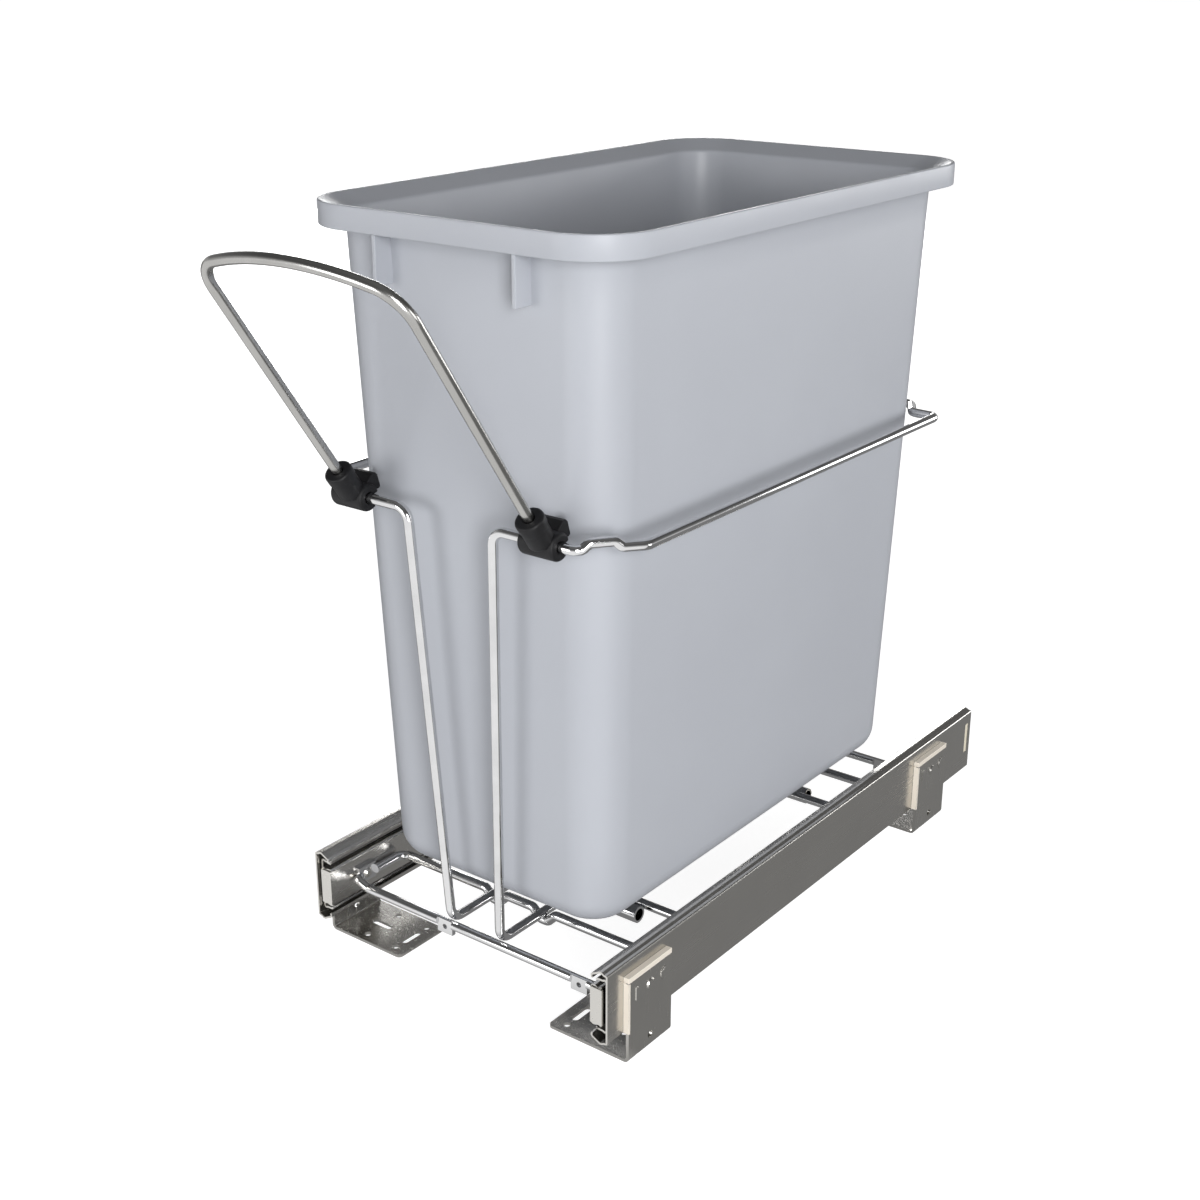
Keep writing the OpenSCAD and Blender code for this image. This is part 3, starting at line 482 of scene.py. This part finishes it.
def bent(points, r):
    """Rounds each inner corner of a line of points."""
    line = [Vector(points[0])]
    for a, b, c in zip(points, points[1:], points[2:]):
        line += corner(a, b, c, r, BEND_STEPS)
    return line + [Vector(points[-1])]


def wire_loop(name, points, body):
    """A closed wire bent through points of x, y, z and bend radius."""
    count = len(points)
    line = []
    for i, (x, y, z, r) in enumerate(points):
        line += corner(points[i - 1][:3], (x, y, z), points[(i + 1) % count][:3], r, WIRE_BEND_STEPS)
    n = len(line)
    ahead = [(line[(i + 1) % n] - line[i - 1]).normalized() for i in range(n)]
    sides = [ahead[0].orthogonal().normalized()]
    for way in ahead[1:] + ahead[:1]:
        sides.append((sides[-1] - way * sides[-1].dot(way)).normalized())
    drift = math.atan2(ahead[0].dot(sides[n].cross(sides[0])), sides[n].dot(sides[0]))
    around = WIRE_SIDES
    verts = []
    for i in range(n):
        up = ahead[i].cross(sides[i])
        for j in range(around):
            a = 2 * math.pi * j / around + drift * i / n
            verts.append(line[i] + (sides[i] * math.cos(a) + up * math.sin(a)) * WIRE_R)
    faces = [[i * around + j, i * around + (j + 1) % around,
              (i + 1) % n * around + (j + 1) % around, (i + 1) % n * around + j]
             for i in range(n) for j in range(around)]
    return mesh_piece(name, verts, faces, "chrome_wire", body)


def frame_wire(side, label):
    """Floor wire, front upright, half of the hoop with its wave, and rear upright, in one."""
    wave = [(WAVE_X + x, HINGE_Y + y, HOOP_Z + z, r) for x, y, z, r in WAVE]
    neck_y = HOOP_REAR_Y - NECK_Y
    path = [(LONG_X, GRID_Y - UPRIGHT_Y, GRID_Z, UPRIGHT_BEND), (UPRIGHT_X, HINGE_Y, HOOP_Z, UPRIGHT_BEND)]
    path += wave
    path += [(HOOP_X, SLIDE_FRONT + WAVE_END, HOOP_Z, HOOP_BEND)]
    path += [(HOOP_X, neck_y - NECK_STEP, HOOP_Z, NECK_BENDS[0]), (NECK_X, neck_y, HOOP_Z, NECK_BENDS[1])]
    path += [(REAR_IN_X, HOOP_REAR_Y, HOOP_Z, HOOP_BEND), (UPRIGHT_X, HOOP_REAR_Y, HOOP_Z, UPRIGHT_BEND)]
    path += [(LONG_X, GRID_Y + UPRIGHT_Y, GRID_Z, UPRIGHT_BEND)]
    obj = wire_loop("frame_wire_" + label, [(side * x, y, z, r) for x, y, z, r in path], "carriage")
    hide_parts(label + "_frame_wire")


def sheet_outline(points, t, r):
    """Closed outline of a sheet bent along a line."""
    line = bent(points, r)
    sides = []
    for i, point in enumerate(line):
        steps = ((line[max(i - 1, 0)], point), (point, line[min(i + 1, len(line) - 1)]))
        near = [(b - a).normalized() for a, b in steps if a != b]
        ahead = sum(near, Vector((0, 0))).normalized()
        sides.append(Vector((-ahead.y, ahead.x)) * t / 2 / ahead.dot(near[0]))
    return [p + n for p, n in zip(line, sides)] + [p - n for p, n in reversed(list(zip(line, sides)))]


def rear_slot_cutter(side):
    """The block that cuts the slot near the outer member's rear end."""
    back = SLIDE_FRONT + REAR_SLOT_E
    xs = (SLIDES_W / 2 - SLOT_REACH, SLIDES_W / 2 + SLOT_REACH)
    ys = (back - REAR_SLOT_W / 2, back + REAR_SLOT_W / 2)
    zs = (SLIDE_MID_Z + REAR_SLOT_LOW, SLIDE_MID_Z + REAR_SLOT_HIGH)
    verts = [(side * x * MM, y * MM, z * MM) for x in xs for y in ys for z in zs]
    faces = [(0, 1, 3, 2), (4, 6, 7, 5), (0, 4, 5, 1), (2, 3, 7, 6), (0, 2, 6, 4), (1, 5, 7, 3)]
    mesh = bpy.data.meshes.new("slot")
    mesh.from_pydata(verts, [], faces)
    face_outward(mesh)
    cutter = bpy.data.objects.new("slot", mesh)
    bpy.context.collection.objects.link(cutter)
    return cutter


def outer_member(side, label):
    """The outer member's web with its two ball races, hooked round to the lips, and its rear slot."""
    outline = sheet_outline(RACE + [(u, -w) for u, w in reversed(RACE)], SHEET, BEND_R)
    n = len(outline)
    verts = [(side * (SLIDES_W / 2 - u), SLIDE_FRONT + e, SLIDE_MID_Z + w)
             for e in (0, SLIDE_LEN) for u, w in outline]
    faces = [list(range(n)), list(reversed(range(n, 2 * n)))]
    faces += [[j, (j + 1) % n, n + (j + 1) % n, n + j] for j in range(n)]
    obj = mesh_piece("outer_slide_" + label, verts, faces, "slide_steel", "base")
    cutter = rear_slot_cutter(side)
    cut = obj.modifiers.new("slot", "BOOLEAN")
    cut.object, cut.operation, cut.solver = cutter, "DIFFERENCE", "EXACT"
    bpy.context.view_layer.update()
    done = bpy.data.meshes.new_from_object(obj.evaluated_get(bpy.context.evaluated_depsgraph_get()))
    obj.modifiers.clear()
    obj.data = done
    bpy.data.objects.remove(cutter)
    done.set_sharp_from_angle(angle=STEEL_SHARP)
    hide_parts(label + "_outer_member")


def flange_strip(name, low, high):
    """A pressed strip between two corners, whose light cream colour is a painted reflection of the floor."""
    outline = [(low[1], low[2]), (high[1], low[2]), (high[1], high[2]), (low[1], high[2])]
    slab(name, outline, (low[0] + high[0]) / 2, high[0] - low[0], "flange_painted_reflection", "base", FLANGE_EDGE)


def bracket_dressing(side, end, label):
    """One floor bracket's two flange strips and the two half-moon lances in its plate."""
    mid_y = end * BRACKET_PITCH / 2
    near, far = sorted((side * SLIDES_W / 2, side * (PLATE_OUT + PROUD)))
    front, rear = mid_y - BRACKET_W / 2 - PROUD, mid_y + BRACKET_W / 2
    under = BRACKET_TOP - FLANGE_T
    flange_strip("bracket_top_" + label, (near, front, under), (far, rear, BRACKET_TOP + PROUD))
    flange_strip("bracket_front_" + label, (near, front, FLANGE_FOOT), (far, front + FRONT_T, under - SEAM))
    for lance in (-1, 1):
        flat = mid_y + lance * (LANCE_Y + LANCE_W / 2)
        moon = [(flat - lance * LANCE_W * math.cos(a), LANCE_Z + LANCE_R * math.sin(a))
                for a in (math.radians(turn) for turn in range(-90, 91, LANCE_STEP))]
        name = "lance_%s_%s" % (label, "ab"[lance > 0])
        slab(name, moon, side * (PLATE_OUT - LANCE_SINK), LANCE_T, "bracket_steel", "base", LANCE_EDGE)


def area_light(name, at, aim, size, power):
    data = bpy.data.lights.new(name, "AREA")
    data.shape = "RECTANGLE"
    data.size, data.size_y = size
    data.energy = power
    light = bpy.data.objects.new(name, data)
    bpy.context.collection.objects.link(light)
    light.location = at
    light.rotation_euler = (Vector(aim) - Vector(at)).to_track_quat("-Z", "Y").to_euler()


def grey(level):
    return (level, level, level, 1)


def map_range(nodes, values):
    made = nodes.new("ShaderNodeMapRange")
    for socket, value in zip(("From Min", "From Max", "To Min", "To Max"), values):
        made.inputs[socket].default_value = value
    return made


def floor_paint():
    """White to the camera away from the part, and in metals a mirror image that fades to the back."""
    paint = bpy.data.materials.new("floor_paint")
    paint.use_nodes = True
    nodes, links = paint.node_tree.nodes, paint.node_tree.links
    nodes.clear()
    path = nodes.new("ShaderNodeLightPath")
    place = nodes.new("ShaderNodeNewGeometry")
    along = nodes.new("ShaderNodeVectorMath")
    along.operation = "DOT_PRODUCT"
    along.inputs[1].default_value = FLOOR_FADE_AXIS
    fade = map_range(nodes, FLOOR_FADE)
    mirrored = nodes.new("ShaderNodeEmission")
    links.new(place.outputs["Position"], along.inputs[0])
    links.new(along.outputs["Value"], fade.inputs["Value"])
    links.new(fade.outputs["Result"], mirrored.inputs["Strength"])

    far = nodes.new("ShaderNodeVectorMath")
    far.operation = "LENGTH"
    spread = map_range(nodes, FLOOR_GLOW)
    level = nodes.new("ShaderNodeMath")
    level.operation = "MULTIPLY"
    glow = nodes.new("ShaderNodeEmission")
    links.new(place.outputs["Position"], far.inputs[0])
    links.new(far.outputs["Value"], spread.inputs["Value"])
    links.new(path.outputs["Is Camera Ray"], level.inputs[0])
    links.new(spread.outputs["Result"], level.inputs[1])
    links.new(level.outputs[0], glow.inputs["Strength"])

    matt = nodes.new("ShaderNodeBsdfDiffuse")
    matt.inputs["Color"].default_value = grey(FLOOR_MATT)
    add = nodes.new("ShaderNodeAddShader")
    either = nodes.new("ShaderNodeMixShader")
    out = nodes.new("ShaderNodeOutputMaterial")
    links.new(matt.outputs[0], add.inputs[0])
    links.new(glow.outputs[0], add.inputs[1])
    links.new(path.outputs["Is Glossy Ray"], either.inputs["Fac"])
    links.new(add.outputs[0], either.inputs[1])
    links.new(mirrored.outputs[0], either.inputs[2])
    links.new(either.outputs[0], out.inputs["Surface"])
    return paint


def studio_floor():
    mesh = bpy.data.meshes.new("floor")
    corners = ((-1, -1), (1, -1), (1, 1), (-1, 1))
    mesh.from_pydata([(x * FLOOR_HALF, y * FLOOR_HALF, 0) for x, y in corners], [], [(0, 1, 2, 3)])
    floor = bpy.data.objects.new("floor", mesh)
    bpy.context.collection.objects.link(floor)
    mesh.materials.append(floor_paint())


def room():
    """A grey room that lights the part softly and is white to the camera."""
    world = bpy.data.worlds.new("room")
    bpy.context.scene.world = world
    world.use_nodes = True
    nodes, links = world.node_tree.nodes, world.node_tree.links
    back = nodes["Background"]
    place = nodes.new("ShaderNodeTexCoord")
    split = nodes.new("ShaderNodeSeparateXYZ")
    ramp = nodes.new("ShaderNodeValToRGB")
    for stop, level in zip(ramp.color_ramp.elements, ROOM_ENDS):
        stop.color = grey(level)
    for position, level in ROOM_STOPS:
        ramp.color_ramp.elements.new(position).color = grey(level)
    path = nodes.new("ShaderNodeLightPath")
    seen = nodes.new("ShaderNodeMix")
    seen.data_type = "RGBA"
    seen.inputs[7].default_value = grey(1 / ROOM_LEVEL)
    links.new(place.outputs["Generated"], split.inputs[0])
    links.new(split.outputs["Z"], ramp.inputs["Fac"])
    links.new(path.outputs["Is Camera Ray"], seen.inputs["Factor"])
    links.new(ramp.outputs["Color"], seen.inputs[6])
    links.new(seen.outputs[2], back.inputs["Color"])
    back.inputs["Strength"].default_value = ROOM_LEVEL


def camera():
    """The camera at the photograph's angle."""
    data = bpy.data.cameras.new("camera")
    data.lens = CAMERA_LENS
    data.sensor_width = CAMERA_SENSOR
    obj = bpy.data.objects.new("camera", data)
    bpy.context.collection.objects.link(obj)
    obj.location = CAMERA_AT
    ahead = Vector((-math.sin(CAMERA_TURN) * math.cos(CAMERA_DOWN),
                    math.cos(CAMERA_TURN) * math.cos(CAMERA_DOWN), -math.sin(CAMERA_DOWN)))
    obj.rotation_euler = ahead.to_track_quat("-Z", "Y").to_euler()
    bpy.context.scene.camera = obj


finish_cad_nodes()
moulded_bin()
for side, label in SIDES:
    clamp(side, label)
for side, label in SIDES:
    outer_member(side, label)
    frame_wire(side, label)
    for end, place in ((-1, "front"), (1, "rear")):
        bracket_dressing(side, end, place + "_" + label)
studio_floor()
room()
for settings in LIGHTS:
    area_light(*settings)
camera()
bpy.context.scene.view_settings.view_transform = "Standard"
